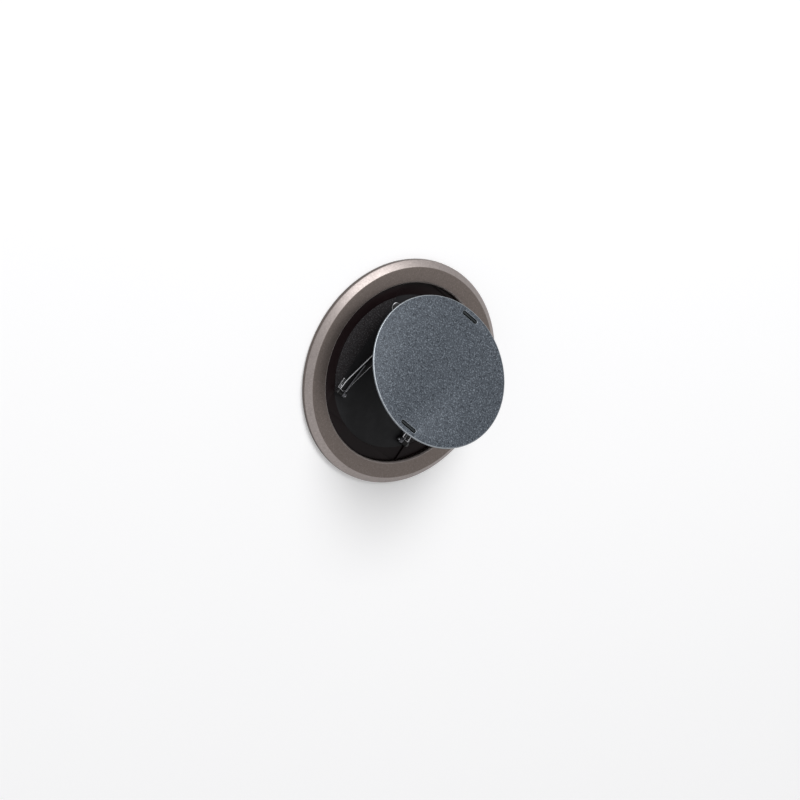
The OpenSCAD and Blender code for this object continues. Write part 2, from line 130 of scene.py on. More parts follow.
class GripSizes(bpy.types.PropertyGroup):
    """Sizes of the grip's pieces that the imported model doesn't state by itself."""

    turn_sides: count("Turning steps", "Sides of the large turned pieces", 256, 64)
    chamfer_start: length("Chamfer start", "Height where the ring's outer chamfer starts", 1.2)
    chamfer_width: length("Chamfer width", "Width of that chamfer, seen from above", 1.6)
    band_width: length("Band width", "Width of the ring from its wall to the well", 5.6)
    well_chamfer: length("Well chamfer", "Size of the chamfer round the well's edge", 0.4)
    ring_roof: length("Ring roof", "Thickness of the ring's top wall", 0.7)
    ring_wall: length("Ring wall", "Thickness of the ring's outer wall", 1.25)
    well_wall: length("Well wall", "Thickness of the ring's inner wall", 0.75)
    ring_round: length("Ring rounding", "Rounding of the ring's edges", 0.16)
    fit_gap: length("Fit gap", "Clearance round the parts set into the ring", 0.1)
    pocket_length: length("Pocket length", "Length of the pocket along the arms", 40)
    pocket_shift: length("Pocket shift", "Offset of the pocket along the arms", 1.4)
    seam_width: length("Seam width", "Width of the seam beside the pocket", 0.2)
    seam_depth: length("Seam depth", "Depth of that seam in the tray", 0.2)
    tray_round: length("Tray rounding", "Rounding of the tray's and the pad's edges", 0.06)
    seat_round: length("Seat rounding", "Rounding of the seats' edges", 0.1)
    grooves: count("Grooves", "Grooves round the pad's underside", 3, 1)
    groove_pitch: length("Groove pitch", "Distance from one groove to the next", 2.4)
    groove_width: length("Groove width", "Width of each groove", 0.6)
    groove_depth: length("Groove depth", "Depth of each groove", 0.15)
    cap_seat: length("Cap seat", "Height of the cap plate above the rocking axis", 1.25)
    cap_thickness: length("Cap thickness", "Thickness of the cap plate", 0.6)
    cap_diameter: length("Cap diameter", "Diameter of the cap plate", 37.8)
    cap_round: length("Cap rounding", "Width of the bright edge round the cap plate", 0.22)
    cap_rock: angle("Cap rock", "Sideways rock of the cap when the grip is open", 15.6)
    slot_reach: length("Slot reach", "Distance of the cap's slots from its centre", 17.15)
    slot_length: length("Slot length", "Length of the cap's slots", 4.6)
    slot_width: length("Slot width", "Width of the cap's slots", 1.1)
    slot_round: length("Slot rounding", "Rounding of the slots' edges", 0.07)
    slot_turn: angle("Slot turn", "Turn of the slots from the line of the arms", 10.8)
    hook_gap: length("Hook gap", "Further gap beside the carrier's hooks", 0.18)
    carrier_round: length("Carrier rounding", "Rounding of the carrier's edges", 0.08)
    rod_radius: length("Rod radius", "Radius of the rocking rod", 0.35)
    pin_sides: count("Pin sides", "Sides of the pins and the rod", 48, 12)
    pin_round: length("Pin rounding", "Rounding of the pins' ends", 0.08)
    pin_dimple: length("Pin dimple", "Depth of the dimples in the pins' ends", 0.05)
    rivet_sides: count("Rivet sides", "Sides of the rivets", 40, 12)
    rivet_radius: length("Rivet radius", "Radius of the rivets' shanks", 0.45)
    rivet_head: length("Rivet head", "Radius of the rivets' domed heads", 0.64)
    wire: length("Spring wire", "Thickness of the spring wire", 0.3)
    wire_sides: count("Wire sides", "Sides of the spring wire", 14, 6)
    coil_radius: length("Coil radius", "Radius of the coils at the wire's middle", 0.6)
    coil_turns: count("Coil turns", "Whole turns of each spring", 3, 1)
    coil_steps: count("Coil steps", "Steps in each turn of a spring", 32, 12)
    leg_length: length("Spring leg", "Length of each spring's leg along the rail", 8.2)
    leg_height: length("Leg height", "Height of the legs above the arm's middle plane", 0.46)
    outer_arm_edge: length("Outer arm edge", "Width of the outer arm's bright cut edges", 0.16)
    inner_arm_edge: length("Inner arm edge", "Width of the inner arm's bright cut edges", 0.096)
    spine_edge: length("Spine edge", "Width of the spine's bright cut edges", 0.08)
    guide_edge: length("Guide edge", "Width of the guide's and the brackets' bright cut edges", 0.096)
    arm_edge_least: length("Least arm edge", "Shortest edge of an arm that is cut bright", 0.9)
    guide_edge_least: length("Least guide edge", "Shortest edge of the guide that is cut bright", 0.12)


class GripColours(bpy.types.PropertyGroup):
    """Colours of the grip's finishes."""

    ring: colour("Ring", "Champagne anodised ring", (0.136, 0.114, 0.104))
    # The chamfer colour is lighter than the ring's as a painted highlight
    chamfer: colour("Chamfer", "Lighter anodising of the ring's cut chamfers", (0.262, 0.232, 0.222))
    ring_fleck: colour("Ring fleck", "Lighter grains of the blasted ring", (0.190, 0.160, 0.148))
    cap: colour("Cap", "Slate cap plate", (0.047, 0.057, 0.071))
    cap_fleck: colour("Cap fleck", "Lighter grains of the cap plate", (0.165, 0.190, 0.220))
    cap_shade: colour("Cap shade", "Darker grains of the cap plate", (0.012, 0.016, 0.023))
    cap_rim: colour("Cap rim", "Bright edge of the cap plate", (0.25, 0.27, 0.29))
    # Black coat, made darker still as painted shade from the cap over the arms
    arm: colour("Arms", "Black coat of the arms and the spine", (0.006, 0.006, 0.0065))
    cut_edge: colour("Cut edges", "Bare steel on the stamped pieces' edges", (0.50, 0.50, 0.52))
    tray: colour("Tray", "Smooth plastic of the floor tray", (0.0065, 0.0032, 0.0036))
    # The pocket's satin black is made lighter than the tray as painted light where the cap shades it
    pocket: colour("Pocket", "Satin black floor of the arm pocket", (0.0210, 0.0210, 0.0228))
    seat: colour("Seats", "Textured seats beside the pocket", (0.0125, 0.0115, 0.0125))
    seat_fleck: colour("Seat fleck", "Lighter grains of the seats", (0.085, 0.080, 0.086))
    carrier: colour("Carrier", "Fine matte plastic under the cap", (0.016, 0.019, 0.021))
    guide: colour("Guide", "Dark stamped steel of the guide and brackets", (0.030, 0.030, 0.032))
    steel: colour("Steel", "Ground steel of the pins", (0.42, 0.42, 0.44))
    spring: colour("Springs", "Oiled spring wire", (0.11, 0.11, 0.12))
    nickel: colour("Nickel", "Plating of the magnets", (0.62, 0.61, 0.59))
    pad: colour("Pad", "Soft pad under the ring", (0.045, 0.045, 0.050))
    floor: colour("Floor", "Pale studio floor", (0.86, 0.86, 0.87))
    floor_patch: colour("Floor patches", "Faint patches of the studio floor", (0.84, 0.84, 0.85))


class GripStudio(bpy.types.PropertyGroup):
    """Camera, lamps and floor of the studio."""

    camera_place: vector(
        "Camera place", "Place of the camera in metres", (-0.70173, -0.13563, 0.89179), "TRANSLATION"
    )
    camera_turn: vector(
        "Camera turn",
        "Turn of the camera about X, Y and Z",
        [math.radians(degrees) for degrees in (-19.0046, -34.5846, 41.6814)],
        "EULER",
    )
    camera_lens: FloatProperty(name="Lens", description="Focal length in millimetres", default=211.82, min=1)
    lamp_distance: length("Lamp distance", "Distance of the lamps", 1100)
    key_direction: vector(
        "Key direction", "Direction from the grip to the key lamp", (-0.355, 0.625, 0.695), "DIRECTION"
    )
    key_size: length("Key size", "Width of the key lamp", 600)
    key_power: number("Key power", "Power of the key lamp in watts", 9.8)
    fill_direction: vector(
        "Fill direction", "Direction from the grip to the fill lamp", (0.2, -0.9, 0.5), "DIRECTION"
    )
    fill_size: length("Fill size", "Width of the fill lamp", 1200)
    fill_power: number("Fill power", "Power of the fill lamp in watts", 0.8)
    ambient: number("Ambient", "Strength of the surrounding light", 0.30)
    floor_radius: length("Floor radius", "Radius of the floor", 1500)
    floor_sides: count("Floor sides", "Sides of the floor", 96, 12)
    floor_gap: length("Floor gap", "Gap between the floor and the pad's underside", 0.02)
    floor_glow: number("Floor glow", "Whiteness that the floor shows without lighting the grip", 0.26)


def sizes():
    """The grip's size settings."""
    return bpy.context.scene.grip_sizes


def colours():
    """The grip's colour settings."""
    return bpy.context.scene.grip_colours


# Frames of the moving pieces at rest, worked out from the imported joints

def joint_place(name):
    """Point on a joint's axis, in metres."""
    return Vector(joints[name]["pos_m"])


def arm_frame():
    """Frame of the outer arm: X along its hinge, Y along the arm."""
    lift = math.radians(-joints["arm_fold"]["range_deg"][0])
    return Matrix.Translation(joint_place("arm_fold")) @ Matrix.Rotation(lift, 4, "X")


def cap_frame():
    """Frame of the cap: Y along the rocking axis, Z out of the cap."""
    axis = Vector(joints["cap_rock"]["axis"])
    pitch = math.atan2(axis.z, axis.y)
    turn = Matrix.Rotation(pitch, 4, "X") @ Matrix.Rotation(-sizes().cap_rock, 4, "Y")
    return Matrix.Translation(joint_place("cap_rock")) @ turn


# Modelling steps

def named(name):
    """Names the object that an operator has just made."""
    obj = bpy.context.active_object
    obj.name = name
    return obj


def start_piece(name, add, **values):
    """Adds and names a primitive, a lamp or a camera, with nothing else selected."""
    bpy.ops.object.select_all(action="DESELECT")
    add(**values)
    return named(name)


def pick(*objects):
    """Selects only these objects and makes the first one active."""
    bpy.ops.object.select_all(action="DESELECT")
    for obj in objects:
        obj.select_set(True)
    bpy.context.view_layer.objects.active = objects[0]


def start_edit(obj, kind="FACE", action="SELECT"):
    """Opens a piece in edit mode with all or none of it selected."""
    pick(obj)
    bpy.ops.object.mode_set(mode="EDIT")
    bpy.ops.mesh.select_mode(type=kind)
    bpy.ops.mesh.select_all(action=action)


def end_edit():
    """Leaves edit mode."""
    bpy.ops.object.mode_set(mode="OBJECT")


def pick_parts(obj, kind, wanted):
    """Opens a piece in edit mode with the points, edges or faces selected that the test wants."""
    start_edit(obj, kind, "DESELECT")
    end_edit()
    mesh = obj.data
    parts = {"VERT": mesh.vertices, "EDGE": mesh.edges, "FACE": mesh.polygons}[kind]
    for part in parts:
        part.select = wanted(part)
    bpy.ops.object.mode_set(mode="EDIT")


def edge_ends(obj, edge):
    """Both end points of an edge."""
    return [obj.data.vertices[i].co for i in edge.vertices]


def mend(obj):
    """Merges doubled points and turns every face outwards."""
    start_edit(obj)
    bpy.ops.mesh.remove_doubles(threshold=MM * 0.001)
    bpy.ops.mesh.normals_make_consistent(inside=False)
    end_edit()


def apply_place(obj):
    """Moves a piece's place, turn and scale into its mesh."""
    pick(obj)
    bpy.ops.object.transform_apply(location=True, rotation=True, scale=True)


def set_in(obj, matrix):
    """Sets a piece into one of the grip's frames."""
    obj.matrix_world = matrix @ obj.matrix_world
    apply_place(obj)


def modify(obj, kind, **values):
    """Adds a modifier with these settings and applies it."""
    pick(obj)
    bpy.ops.object.modifier_add(type=kind)
    step = obj.modifiers[-1]
    for key, value in values.items():
        setattr(step, key, value)
    bpy.ops.object.modifier_apply(modifier=step.name)


def smooth(obj, degrees=38):
    """Shades a piece smooth, apart from the edges that turn more than the angle."""
    pick(obj)
    bpy.ops.object.shade_smooth_by_angle(angle=math.radians(degrees))


def extrude(*move):
    """Extrudes the selected faces or edges along a move."""
    bpy.ops.mesh.extrude_region_move(TRANSFORM_OT_translate={"value": move})


def turned(name, profile, solid=True, sides=None):
    """Turns a profile of (radius, height) points round the Z axis, as on a lathe."""
    radius, height = profile[0]
    obj = start_piece(
        name,
        bpy.ops.mesh.primitive_circle_add,
        vertices=sides or sizes().turn_sides,
        radius=radius,
        fill_type="NGON" if solid else "NOTHING",
        location=(0, 0, height),
    )
    apply_place(obj)
    start_edit(obj, "FACE" if solid else "EDGE")
    for (near_r, near_z), (far_r, far_z) in zip(profile, profile[1:]):
        extrude(0, 0, far_z - near_z)
        grow = far_r / near_r
        bpy.ops.transform.resize(value=(grow, grow, 1), center_override=(0, 0, 0))
    end_edit()
    mend(obj)
    return obj


def block(name, low, high):
    """A plain cutter block between two corners."""
    middle = [(a + b) / 2 for a, b in zip(low, high)]
    obj = start_piece(name, bpy.ops.mesh.primitive_cube_add, size=1, location=middle)
    obj.scale = [b - a for a, b in zip(low, high)]
    apply_place(obj)
    return obj


def cut(obj, cutter):
    """Cuts one piece out of another."""
    modify(obj, "BOOLEAN", operation="DIFFERENCE", solver="EXACT", object=cutter)
    pick(cutter)
    bpy.ops.object.delete()
    mend(obj)


def soften(obj, width, bright=False, limit=28):
    """Rounds the edges sharper than the limit; a bright rounding has the second material."""
    modify(
        obj, "BEVEL", width=width, segments=3, limit_method="ANGLE", angle_limit=math.radians(limit),
        miter_outer="MITER_ARC", material=1 if bright else -1,
    )
    smooth(obj)


def copy_of(node, name, whole=True):
    """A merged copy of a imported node, with its flat faces made whole again if asked."""
    pick(nodes[node])
    bpy.ops.object.duplicate(linked=False)
    obj = named(name)
    for key in list(obj.keys()):
        del obj[key]
    bpy.ops.object.parent_clear(type="CLEAR_KEEP_TRANSFORM")
    mend(obj)
    if whole:
        start_edit(obj)
        bpy.ops.mesh.dissolve_limited(angle_limit=math.radians(1))
        end_edit()
    return obj


def dress(obj, *materials):
    """Gives a piece its materials in order."""
    obj.data.materials.clear()
    for material in materials:
        obj.data.materials.append(material)


def paint_faces(obj, wanted):
    """Gives the faces that the test wants the piece's second material."""
    pick_parts(obj, "FACE", wanted)
    obj.active_material_index = 1
    bpy.ops.object.material_slot_assign()
    end_edit()


def edge_plate(obj, width, shortest, beyond=0, segments=1, sharp=50):
    """Bevels a stamped plate's long sharp edges in its second material, and smooths the rest.

    Only edges that lie beyond a distance from the grip's middle plane are bevelled.
    """
    start_edit(obj, "EDGE", "DESELECT")
    bpy.ops.mesh.edges_select_sharp(sharpness=math.radians(sharp))
    end_edit()
    for edge in obj.data.edges:
        first, second = edge_ends(obj, edge)
        outside = abs(first.x + second.x) / 2 >= beyond
        edge.select = edge.select and outside and (second - first).length > shortest
    bpy.ops.object.mode_set(mode="EDIT")
    bpy.ops.mesh.bevel(offset=width, segments=segments, affect="EDGES", clamp_overlap=False, material=1)
    end_edit()
    smooth(obj)


def seat_piece(obj, body, node):
    """Passes a finished piece to the frame."""
    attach(obj, body)
    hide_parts(node)


def pin_between(name, centre, axis, reach, radius):
    """A ground pin with rounded ends and a centre dimple in each end."""
    s = sizes()
    obj = start_piece(
        name, bpy.ops.mesh.primitive_cylinder_add, vertices=s.pin_sides, radius=radius, depth=2 * reach
    )
    pick_parts(obj, "FACE", lambda face: abs(face.normal.z) > FACING)
    rim = radius * 0.55
    bpy.ops.mesh.inset(thickness=rim, use_individual=True)
    bpy.ops.transform.shrink_fatten(value=-s.pin_dimple)
    end_edit()
    obj.location = centre
    obj.rotation_euler = Vector(axis).to_track_quat("Z", "Y").to_euler()
    apply_place(obj)
    mend(obj)
    soften(obj, s.pin_round, limit=50)
    return obj


# Shared effects

NUMBER = "NodeSocketFloat"
VECTOR = "NodeSocketVector"
COLOUR = "NodeSocketColor"


def link(tree, source, socket):
    """Links a socket to another one, or sets it to a number."""
    if isinstance(source, (int, float)):
        socket.default_value = source
    else:
        tree.links.new(source, socket)


def new_group(name, inputs, outputs):
    """A node group with sockets of these names and kinds; returns its tree, inputs and outputs."""
    tree = bpy.data.node_groups.new(name, "ShaderNodeTree")
    for in_out, sockets in (("INPUT", inputs), ("OUTPUT", outputs)):
        for socket_name, kind in sockets.items():
            tree.interface.new_socket(name=socket_name, in_out=in_out, socket_type=kind)
    return tree, tree.nodes.new("NodeGroupInput").outputs, tree.nodes.new("NodeGroupOutput").inputs


def noise_in(tree, place, scale, detail=2.0):
    """A noise texture read at a place socket and a scale socket."""
    noise = tree.nodes.new("ShaderNodeTexNoise")
    noise.inputs["Detail"].default_value = detail
    noise.inputs["Roughness"].default_value = 0.55
    link(tree, place, noise.inputs["Vector"])
    link(tree, scale, noise.inputs["Scale"])
    return noise.outputs["Fac"]


def ranged(tree, value, low, high, to_low=0.0, to_high=1.0):
    """Maps a value from one range to another; either end may be a socket."""
    node = tree.nodes.new("ShaderNodeMapRange")
    ends = {"Value": value, "From Min": low, "From Max": high, "To Min": to_low, "To Max": to_high}
    for name, end in ends.items():
        link(tree, end, node.inputs[name])
    return node.outputs["Result"]


def calculated(tree, operation, first, second):
    """A math node; either value may be a number or a socket."""
    node = tree.nodes.new("ShaderNodeMath")
    node.operation = operation
    link(tree, first, node.inputs[0])
    link(tree, second, node.inputs[1])
    return node.outputs["Value"]


def times(tree, first, second):
    """One value multiplied by another."""
    return calculated(tree, "MULTIPLY", first, second)


def mixed(tree, mask, first, second):
    """Mixes two colours by a mask; a Mix node's colour sockets are numbers 6 and 7, and output 2."""
    node = tree.nodes.new("ShaderNodeMix")
    node.data_type = "RGBA"
    link(tree, mask, node.inputs["Factor"])
    link(tree, first, node.inputs[6])
    link(tree, second, node.inputs[7])
    return node.outputs[2]


@cache
def blasted_grain():
    """Bead-blasted grain: a height and a roughness that vary from grain to grain."""
    inputs = {"Vector": VECTOR, "Scale": NUMBER, "Low": NUMBER, "High": NUMBER}
    tree, given, out = new_group("Blasted grain", inputs, {"Height": NUMBER, "Roughness": NUMBER})
    grain = noise_in(tree, given["Vector"], given["Scale"], detail=3.0)
    cells = tree.nodes.new("ShaderNodeTexVoronoi")
    link(tree, given["Vector"], cells.inputs["Vector"])
    link(tree, times(tree, given["Scale"], 0.7), cells.inputs["Scale"])
    pits = times(tree, cells.outputs["Distance"], 0.5)
    link(tree, calculated(tree, "ADD", grain, pits), out["Height"])
    broad = noise_in(tree, given["Vector"], times(tree, given["Scale"], 0.05))
    uneven = calculated(tree, "ADD", times(tree, grain, 0.6), times(tree, broad, 0.4))
    link(tree, ranged(tree, uneven, 0.35, 0.65, given["Low"], given["High"]), out["Roughness"])
    return tree


@cache
def flecks():
    """Light and dark flecks over a base colour."""
    inputs = {"Vector": VECTOR, "Scale": NUMBER, "Amount": NUMBER}
    inputs |= {"Base": COLOUR, "Light": COLOUR, "Dark": COLOUR}
    tree, given, out = new_group("Flecks", inputs, {"Color": COLOUR})
    fine = noise_in(tree, given["Vector"], given["Scale"], detail=1.0)
    other = noise_in(tree, given["Vector"], times(tree, given["Scale"], 0.62), detail=1.0)
    light = ranged(tree, fine, 0.52, 0.72, 0.0, given["Amount"])
    dark = ranged(tree, other, 0.30, 0.48, given["Amount"], 0.0)
    shaded = mixed(tree, dark, given["Base"], given["Dark"])
    link(tree, mixed(tree, light, shaded, given["Light"]), out["Color"])
    return tree


@cache
def drawn_lines():
    """Fine lines that grinding or drawing leaves along one direction."""
    inputs = {"Vector": VECTOR, "Stretch": VECTOR, "Scale": NUMBER, "Low": NUMBER, "High": NUMBER}
    tree, given, out = new_group("Drawn lines", inputs, {"Height": NUMBER, "Roughness": NUMBER})
    along = tree.nodes.new("ShaderNodeVectorMath")
    along.operation = "MULTIPLY"
    link(tree, given["Vector"], along.inputs[0])
    link(tree, given["Stretch"], along.inputs[1])
    lines = noise_in(tree, along.outputs["Vector"], given["Scale"])
    link(tree, lines, out["Height"])
    link(tree, ranged(tree, lines, 0.3, 0.7, given["Low"], given["High"]), out["Roughness"])
    return tree


@cache
def worn_patches():
    """Broad, faint patches where wear has dulled or darkened a surface."""
    inputs = {"Vector": VECTOR, "Scale": NUMBER, "Amount": NUMBER, "Color": COLOUR, "Worn": COLOUR}
    tree, given, out = new_group("Worn patches", inputs, {"Color": COLOUR})
    patches = noise_in(tree, given["Vector"], given["Scale"], detail=4.0)
    mask = ranged(tree, patches, 0.42, 0.68, 0.0, given["Amount"])
    link(tree, mixed(tree, mask, given["Color"], given["Worn"]), out["Color"])
    return tree


# Materials

def tint(rgb, factor=1.0):
    """A colour made lighter or darker by a factor, with a full alpha."""
    return (*(value * factor for value in rgb), 1.0)


def new_material(name, rgb, metallic=0.0, roughness=0.5, specular=0.5):
    """A material with its uniform values on the shader."""
    material = bpy.data.materials.new(name)
    material.use_nodes = True
    shader = shader_of(material)
    shader.inputs["Base Color"].default_value = tint(rgb)
    shader.inputs["Metallic"].default_value = metallic
    shader.inputs["Roughness"].default_value = roughness
    shader.inputs["Specular IOR Level"].default_value = specular
    return material


def shader_of(material):
    """The shader of a material."""
    return material.node_tree.nodes["Principled BSDF"]


def placed(material, effect, **values):
    """A shared effect in a material, read at object coordinates."""
    tree = material.node_tree
    node = tree.nodes.new("ShaderNodeGroup")
    node.node_tree = effect()
    place = tree.nodes.new("ShaderNodeTexCoord")
    link(tree, place.outputs["Object"], node.inputs["Vector"])
    for key, value in values.items():
        node.inputs[key].default_value = value
    return node


def surfaced(material, pattern, grain, strength, depth):
    """Gives a material a pattern's colour and a grain's roughness and height."""
    tree = material.node_tree
    shader = shader_of(material)
    bump = tree.nodes.new("ShaderNodeBump")
    bump.inputs["Strength"].default_value = strength
    bump.inputs["Distance"].default_value = depth
    link(tree, grain.outputs["Height"], bump.inputs["Height"])
    link(tree, bump.outputs["Normal"], shader.inputs["Normal"])
    link(tree, pattern.outputs["Color"], shader.inputs["Base Color"])
    link(tree, grain.outputs["Roughness"], shader.inputs["Roughness"])
    return material


def blasted(name, base, light, dark, amount, speckle, grain, rough, depth, metallic, specular=0.5):
    """A grainy finish: flecked colour, blasted roughness and a fine bump."""
    material = new_material(name, base, metallic, rough[0], specular)
    pattern = placed(material, flecks, Scale=speckle, Amount=amount, Base=tint(base), Light=light, Dark=dark)
    pits = placed(material, blasted_grain, Scale=grain, Low=rough[0], High=rough[1])
    return surfaced(material, pattern, pits, strength=1.0, depth=depth)


def drawn(name, base, stretch, scale, rough, depth=2e-6):
    """Bare ground or drawn metal with lines along one direction and faint stains."""
    material = new_material(name, base, 1.0, rough[0])
    worn = tint(base, 0.7)
    stains = placed(material, worn_patches, Scale=500.0, Amount=0.6, Color=tint(base), Worn=worn)
    lines = placed(material, drawn_lines, Stretch=stretch, Scale=scale, Low=rough[0], High=rough[1])
    return surfaced(material, stains, lines, strength=0.6, depth=depth)


def coated(name, base, rough, specular, rubbed=1.8, patch=260.0, grain=1900.0, strength=0.7, depth=4e-6):
    """A dark coat or plastic with a fine bump and faint rubbed patches."""
    material = new_material(name, base, 0.0, rough[0], specular)
    worn = tint(base, rubbed)
    patches = placed(material, worn_patches, Scale=patch, Amount=0.5, Color=tint(base), Worn=worn)
    peel = placed(material, blasted_grain, Scale=grain, Low=rough[0], High=rough[1])
    return surfaced(material, patches, peel, strength, depth)


@cache
def ring_metal():
    """Champagne anodised aluminium, finely blasted."""
    c = colours()
    return blasted(
        "ring_metal", c.ring, light=tint(c.ring_fleck), dark=tint(c.ring, 0.8), amount=0.55,
        speckle=2600.0, grain=3400.0, rough=(0.38, 0.47), depth=5e-6, metallic=1.0,
    )


@cache
def ring_chamfer_highlight():
    """The ring's chamfers, painted a little lighter than the band as a painted highlight."""
    c = colours()
    return blasted(
        "ring_chamfer_highlight", c.chamfer, light=tint(c.chamfer, 1.25), dark=tint(c.chamfer, 0.82), amount=0.6,
        speckle=2600.0, grain=3400.0, rough=(0.42, 0.52), depth=6e-6, metallic=1.0,
    )


@cache
def cap_metal():
    """Slate coat over blasted aluminium, with a lighter speckle."""
    c = colours()
    return blasted(
        "cap_metal", c.cap, light=tint(c.cap_fleck), dark=tint(c.cap_shade), amount=0.95,
        speckle=3000.0, grain=3000.0, rough=(0.42, 0.58), depth=9e-6, metallic=0.25, specular=0.3,
    )


@cache
def cap_rim():
    """The cap's rounded edge, where the coat is thin and bright."""
    c = colours()
    return blasted(
        "cap_rim", c.cap_rim, light=tint(c.cap_rim, 1.4), dark=tint(c.cap), amount=0.3,
        speckle=3500.0, grain=4500.0, rough=(0.34, 0.44), depth=2e-6, metallic=1.0,
    )


@cache
def seat_texture():
    """Moulded seat with a coarse, pale grain."""
    c = colours()
    return blasted(
        "seat_texture", c.seat, light=tint(c.seat_fleck), dark=tint(c.tray), amount=0.8,
        speckle=3300.0, grain=3300.0, rough=(0.55, 0.75), depth=2e-5, metallic=0.0, specular=0.18,
    )


@cache
def grip_rubber():
    """Soft matte pad."""
    c = colours()
    return blasted(
        "grip_rubber", c.pad, light=tint(c.pad, 1.5), dark=tint(c.pad, 0.6), amount=0.5,
        speckle=1800.0, grain=2600.0, rough=(0.68, 0.84), depth=8e-6, metallic=0.0, specular=0.3,
    )


@cache
def base_plastic():
    """Smooth dark plastic of the tray with faint rubbed patches."""
    return coated(
        "base_plastic", colours().tray, rough=(0.36, 0.48), specular=0.12,
        rubbed=1.5, patch=160.0, grain=5200.0, strength=0.6, depth=2e-6,
    )


@cache
def arm_black():
    """Black coat of the stamped arms, made darker still as painted shade from the cap over them."""
    return coated("arm_black", colours().arm, rough=(0.42, 0.55), specular=0.14)


@cache
def carrier_black():
    """Fine matte plastic of the carrier."""
    return coated("carrier_black", colours().carrier, rough=(0.52, 0.66), specular=0.16)


@cache
def guide_steel():
    """Dark-plated stamped steel."""
    return coated("guide_steel", colours().guide, rough=(0.36, 0.5), specular=0.5)


@cache
def pocket_black_painted_light():
    """Satin black floor of the arm pocket, made lighter as painted light where the cap shades it, which
    turns into the tray's own plastic past the seats.
    """
    material = coated("pocket_black_painted_light", colours().pocket, rough=(0.40, 0.52), specular=0.12)
    tree = material.node_tree
    place = tree.nodes.new("ShaderNodeTexCoord")
    reach = tree.nodes.new("ShaderNodeVectorMath")
    reach.operation = "LENGTH"
    link(tree, place.outputs["Object"], reach.inputs[0])
    # The painted light ends past the seats, where the tray's own colour takes over
    seat_edge = -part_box("seat_left")[0].x
    past_seats = ranged(tree, reach.outputs["Value"], seat_edge, seat_edge + sizes().fit_gap)
    plastic = tree.nodes.new("ShaderNodeRGB")
    plastic.outputs["Color"].default_value = tint(colours().tray)
    base = shader_of(material).inputs["Base Color"]
    satin_painted_light = base.links[0].from_socket
    link(tree, mixed(tree, past_seats, satin_painted_light, plastic.outputs["Color"]), base)
    return material


@cache
def cut_edge():
    """Bare steel where the coat ends at a cut edge."""
    return drawn("cut_edge", colours().cut_edge, stretch=(0.3, 1, 1), scale=3200.0, rough=(0.28, 0.44))


@cache
def pin_steel():
    """Ground steel pins."""
    return drawn("pin_steel", colours().steel, stretch=(1, 0.25, 0.25), scale=5200.0, rough=(0.2, 0.36))


@cache
def spring_steel():
    """Drawn spring wire."""
    return drawn("spring_steel", colours().spring, stretch=(1, 1, 0.3), scale=4200.0, rough=(0.24, 0.4))


@cache
def magnet_nickel():
    """Nickel plating of the magnets."""
    return drawn("magnet_nickel", colours().nickel, stretch=(1, 1, 1), scale=1500.0, rough=(0.16, 0.3))


@cache
def shunt_steel():
    """Rolled sheet steel of the ring over the magnets."""
    return drawn(
        "shunt_steel", colours().steel, stretch=(1, 0.1, 1), scale=2600.0, rough=(0.3, 0.45), depth=3e-6
    )


# Pieces

class GRIP_OT_ring(bpy.types.Operator):
    """Turn the metal ring with its chamfers and its channel"""

    bl_idname = "grip.ring"
    bl_label = "Ring"

    def execute(self, context):
        s = sizes()
        low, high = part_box("base_ring")
        outer = high.x
        well = outer - s.band_width
        floor_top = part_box("seat_left")[0].z
        roof = high.z - s.ring_roof
        channel_out = outer - s.ring_wall
        channel_in = well + s.well_wall
        profile = [
            (outer, low.z),
            (outer, s.chamfer_start),
            (outer - s.chamfer_width, high.z),
            (well + s.well_chamfer, high.z),
            (well, high.z - s.well_chamfer),
            (well, floor_top),
            (channel_in, floor_top),
            (channel_in, roof),
            (channel_out, roof),
            (channel_out, low.z),
            (outer, low.z),
        ]
        ring = turned("ring_shell", profile, solid=False)
        dress(ring, ring_metal(), ring_chamfer_highlight())
        # Only the chamfers slope; they take the lighter colour, a painted highlight
        paint_faces(ring, lambda face: 0.5 < face.normal.z < 0.95)
        soften(ring, s.ring_round)
        seat_piece(ring, "base", "base_ring")
        return {"FINISHED"}


